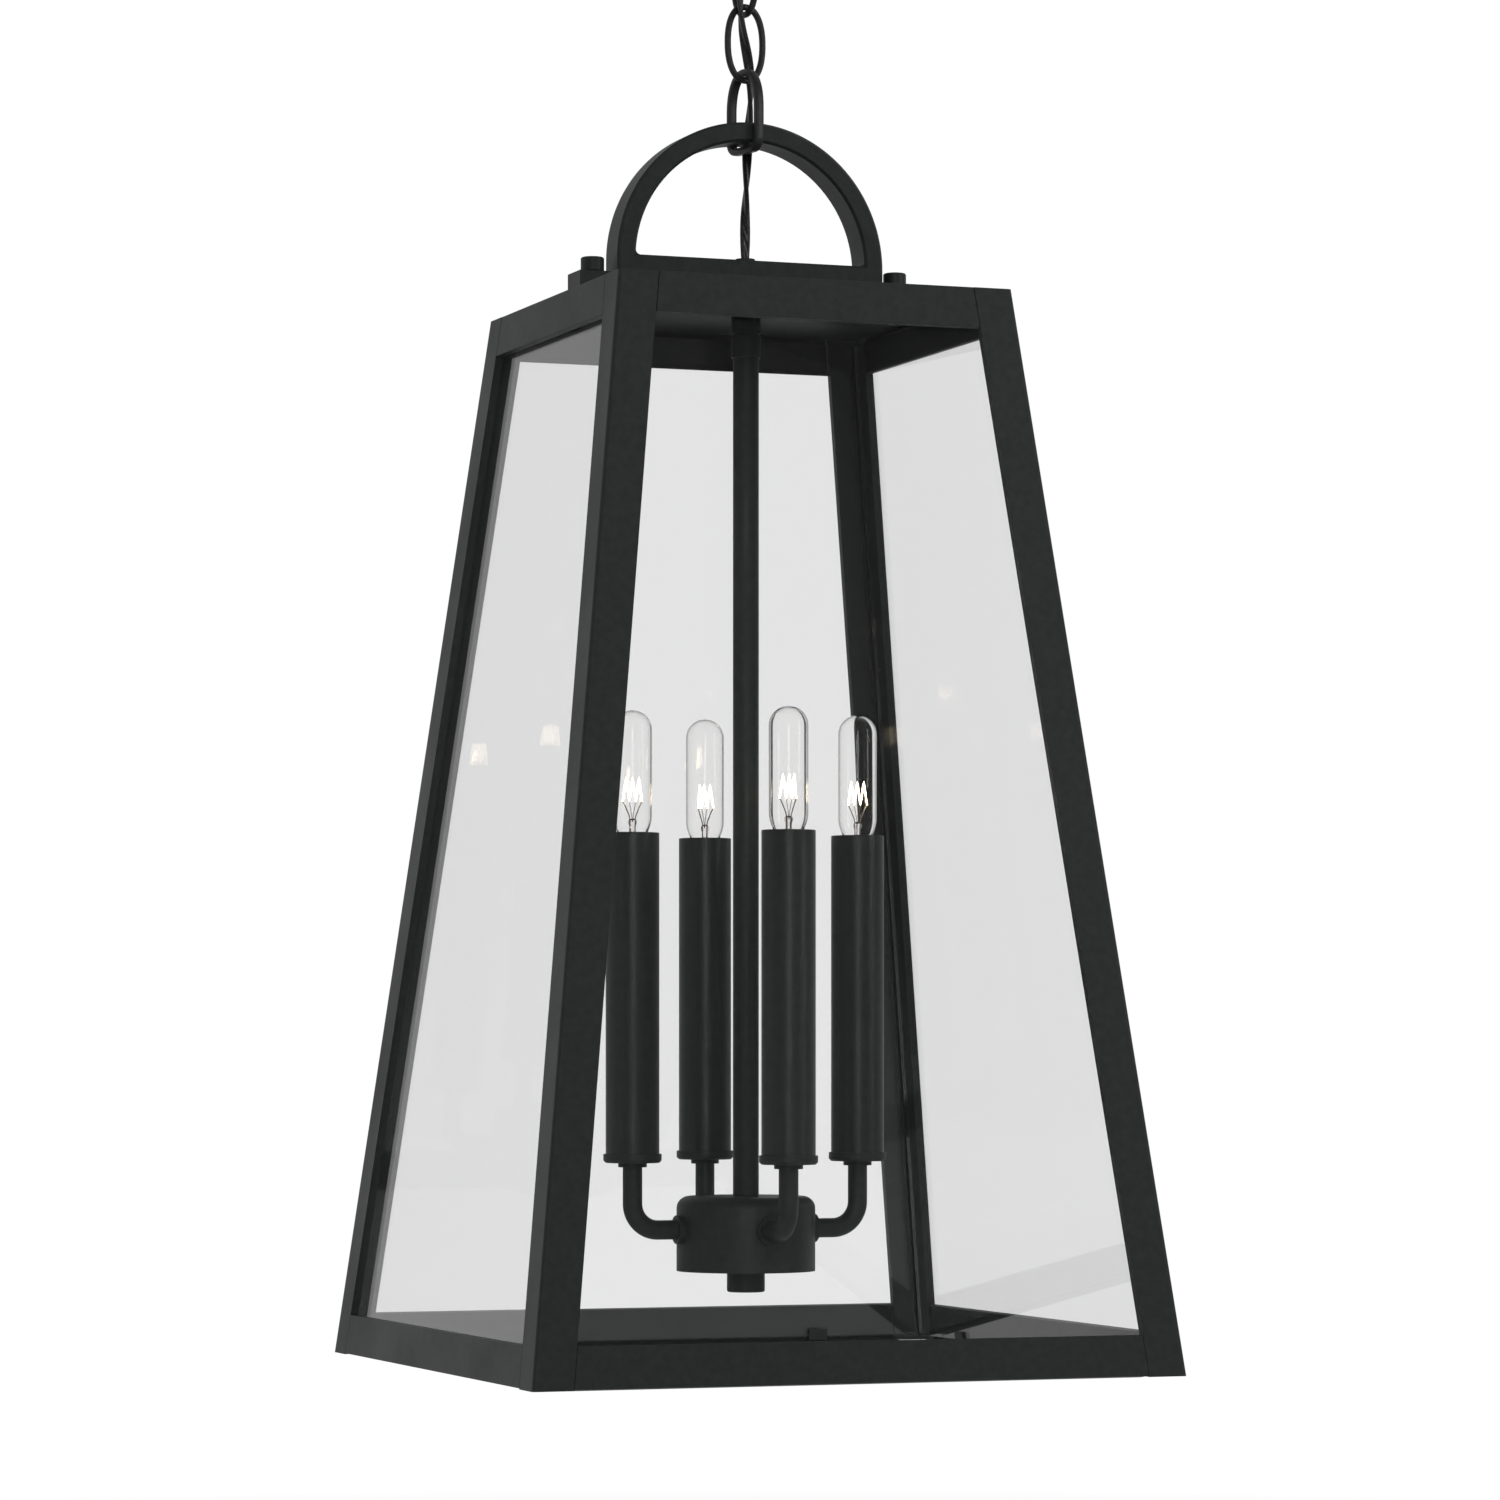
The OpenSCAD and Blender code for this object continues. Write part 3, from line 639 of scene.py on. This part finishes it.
def add_bulb(index, side):
    """Clear tubular bulb: glass, stem, lead wires, zigzag filament and screw cap."""
    angle = math.pi / 2 * index
    centre = Vector((math.sin(angle) * CANDLE_R, -math.cos(angle) * CANDLE_R, 0))
    spot = (centre.x, centre.y)
    body = "bulb_" + side
    place = Matrix.Translation(centre) @ Matrix.Rotation(math.radians(BULB_TURNS[side]), 4, "Z")

    outline = in_mm(bulb_outline(0)) + in_mm(bulb_outline(BULB_WALL))[::-1]
    glass = painted(add_mesh("bulb_envelope_" + side, *spun(outline, 48, spot, closed=True)), BULB)

    stem = in_mm([(ON_AXIS, 252.6), (3.4, 252.6), (3.1, 253.6), (2.2, 256), (1.6, 259), (1.5, 262),
                  (2.1, 263.4), (2.0, PINCH_Z + 0.8), (1.1, PINCH_Z + 1.6), (ON_AXIS, PINCH_Z + 1.8)])
    stem_piece = painted(add_mesh("bulb_stem_" + side, *spun(stem, 20, spot)), STEM_GLASS)

    leads = []
    for way in (-1, 1):
        leads.append(wire([(way * 0.9, 0, 254), (way * 1.0, 0, PINCH_Z), (way * 1.6, 0.2, 267),
                           (way * 3.6, -0.2, 272), (way * FOLD_X, -0.63, FOLD_LOW)], 0.3, place))
    for x in (-1.55, 1.55):
        leads.append(wire([(0, 0.3, PINCH_Z), (0.3 * x, 0.4, 268), (x, 0.55, FOLD_LOW)], 0.17, place))
    leads_piece = painted(joined("bulb_leads_" + side, leads), LEAD)
    coil = painted(add_mesh("bulb_filament_" + side, *wire(fold_path(), COIL_R, place)), HOT)

    thread = [(SHELL_R - THREAD_DEPTH * (0.5 - 0.5 * math.cos(2 * math.pi * z / THREAD_PITCH)), SHELL_LOW + z)
              for z in (k * 0.25 for k in range(56))]
    shell = in_mm([(3.4, SHELL_LOW - 0.9), (4.9, SHELL_LOW - 0.5), *thread, (5.5, 248.6), (5.5, SHELL_HIGH),
                   (5.2, SHELL_HIGH), (5.2, 240), (ON_AXIS, 240)])
    cap = painted(add_mesh("bulb_cap_" + side, *spun(shell, 40, spot), sharp_deg=50), BRASS)
    foot = in_mm([(ON_AXIS, 231.9), (1.6, 232), (2.0, 232.5), (2.2, 233.1), (3.6, 233.7), (4.6, 234.4),
                  (ON_AXIS, 236)])
    tip = painted(add_mesh("bulb_tip_" + side, *spun(foot, 32, spot), sharp_deg=50), INSULATOR)

    for piece, slot, replaced in (
        (glass, "bulb_glass", "bulb_glass_"), (stem_piece, "bulb_glass", None),
        (leads_piece, "filament", None), (coil, "filament", "filament_"),
        (cap, "screw_shell", "bulb_base_"), (tip, "screw_shell", None),
    ):
        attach(piece, body)
        if replaced:
            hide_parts(replaced + side)


for number, side_name in enumerate(SIDES):
    add_bulb(number, side_name)

# ---- World, floor and lights ----

FLOOR_BELOW = 0.30
FLOOR_REACH = 12.0
FLOOR_FADES = (1.2, 3.0)
BACKDROP = 1.01
# light level on the camera's side of the world and behind the lantern
LIGHT_FRONT, LIGHT_BACK = 0.06, 0.54
# the Y of a direction, up to which the light is dim and beyond which it is bright
DIM_BEFORE, BRIGHT_BEHIND = -0.6, 0.5


def seen_directly(tree):
    """1 for what is seen straight or through glass, and 0 for what lights a surface or is mirrored in it."""
    ways = tree.nodes.new("ShaderNodeLightPath")
    bounces, direct = tree.nodes.new("ShaderNodeMath"), tree.nodes.new("ShaderNodeMath")
    bounces.operation, direct.operation = "ADD", "LESS_THAN"
    tree.links.new(ways.outputs["Glossy Depth"], bounces.inputs[0])
    tree.links.new(ways.outputs["Diffuse Depth"], bounces.inputs[1])
    tree.links.new(bounces.outputs[0], direct.inputs[0])
    direct.inputs[1].default_value = 0.5
    return direct.outputs[0]


def backward_light(tree, direction):
    """Light level that rises from LIGHT_FRONT on the camera's side to LIGHT_BACK behind the lantern."""
    parts, level = tree.nodes.new("ShaderNodeSeparateXYZ"), tree.nodes.new("ShaderNodeMapRange")
    level.interpolation_type = "SMOOTHSTEP"
    level.inputs["From Min"].default_value = DIM_BEFORE
    level.inputs["From Max"].default_value = BRIGHT_BEHIND
    level.inputs["To Min"].default_value = LIGHT_FRONT
    level.inputs["To Max"].default_value = LIGHT_BACK
    tree.links.new(direction, parts.inputs[0])
    tree.links.new(parts.outputs["Y"], level.inputs["Value"])
    return level.outputs["Result"]


def add_floor():
    """A wide pale floor under the lantern that goes over into the white backdrop."""
    rings, steps = 24, 64
    level = FOOT - FLOOR_BELOW
    around = circle(1, steps)
    points = [Vector((0, 0, level))]
    for i in range(1, rings + 1):
        r = FLOOR_REACH * (i / rings) ** 1.6
        points += [Vector((r * x, r * y, level)) for x, y in around]
    faces = [[0, 1 + k, 1 + (k + 1) % steps] for k in range(steps)]
    for i in range(rings - 1):
        a, b = 1 + i * steps, 1 + (i + 1) * steps
        faces += [[a + k, b + k, b + (k + 1) % steps, a + (k + 1) % steps] for k in range(steps)]
    floor = add_mesh("floor", points, faces, smooth=False)
    m = Material("floor_pale", (0.86, 0.86, 0.86), 0.8)
    m.bump(m.noise(6, 3), 0.2 * MM, 0.2)
    length = m.node("VectorMath", operation="LENGTH")
    m.link(m.place, length.inputs[0])
    far = m.ranged(length.outputs["Value"], 0, 1, FLOOR_FADES[0], FLOOR_FADES[1])
    white, dim = m.node("Emission"), m.node("Emission")
    white.inputs["Strength"].default_value = BACKDROP
    outward = m.node("VectorMath", operation="NORMALIZE")
    m.link(m.place, outward.inputs[0])
    m.link(backward_light(m.tree, outward.outputs["Vector"]), dim.inputs["Strength"])
    glow, mix = m.node("MixShader"), m.node("MixShader")
    m.link(seen_directly(m.tree), glow.inputs[0])
    m.link(dim.outputs[0], glow.inputs[1])
    m.link(white.outputs[0], glow.inputs[2])
    m.link(far, mix.inputs[0])
    m.link(m.shader.outputs[0], mix.inputs[1])
    m.link(glow.outputs[0], mix.inputs[2])
    m.link(mix.outputs[0], m.out.inputs["Surface"])
    painted(floor, m.mat)


def add_world():
    """White wherever it is seen; as light it is bright behind the lantern and dim on the camera's side."""
    world = bpy.data.worlds.new("world")
    bpy.context.scene.world = world
    world.use_nodes = True
    tree = world.node_tree
    tree.nodes.clear()
    new = tree.nodes.new
    place = new("ShaderNodeTexCoord")
    dim, white = new("ShaderNodeBackground"), new("ShaderNodeBackground")
    for back in (dim, white):
        back.inputs["Color"].default_value = (1, 1, 1, 1)
    tree.links.new(backward_light(tree, place.outputs["Generated"]), dim.inputs["Strength"])
    white.inputs["Strength"].default_value = BACKDROP
    mix, out = new("ShaderNodeMixShader"), new("ShaderNodeOutputWorld")
    tree.links.new(seen_directly(tree), mix.inputs[0])
    tree.links.new(dim.outputs[0], mix.inputs[1])
    tree.links.new(white.outputs[0], mix.inputs[2])
    tree.links.new(mix.outputs[0], out.inputs["Surface"])


def add_softbox(name, place, aim, size, power, mirrored=True):
    """A studio light; mirrored is whether it shows as a reflection in glossy things."""
    data = bpy.data.lights.new(name, "AREA")
    data.shape = "RECTANGLE"
    data.size, data.size_y = size
    data.energy = power
    lamp = bpy.data.objects.new(name, data)
    bpy.context.scene.collection.objects.link(lamp)
    lamp.location = place
    lamp.rotation_euler = (Vector(aim) - Vector(place)).to_track_quat("-Z", "Y").to_euler()
    lamp.visible_camera = False
    lamp.visible_glossy = lamp.visible_transmission = mirrored


add_floor()
add_world()
MIDDLE = (0, 0, up(300))
UPPER = (0, 0, up(450))
add_softbox("softbox_top", (0.3, -1.1, up(1150)), UPPER, (1.2, 0.6), 5, mirrored=False)
add_softbox("softbox_left", (-2.3, -0.95, up(750)), MIDDLE, (0.35, 1.6), 1.6)
add_softbox("softbox_front", (-0.9, -3.0, up(800)), MIDDLE, (0.5, 1.3), 9.5)
add_softbox("softbox_right", (1.9, -1.9, up(1000)), UPPER, (0.5, 1.4), 9.5)

scene = bpy.context.scene
scene.view_settings.view_transform = "Standard"
scene.view_settings.look = "None"
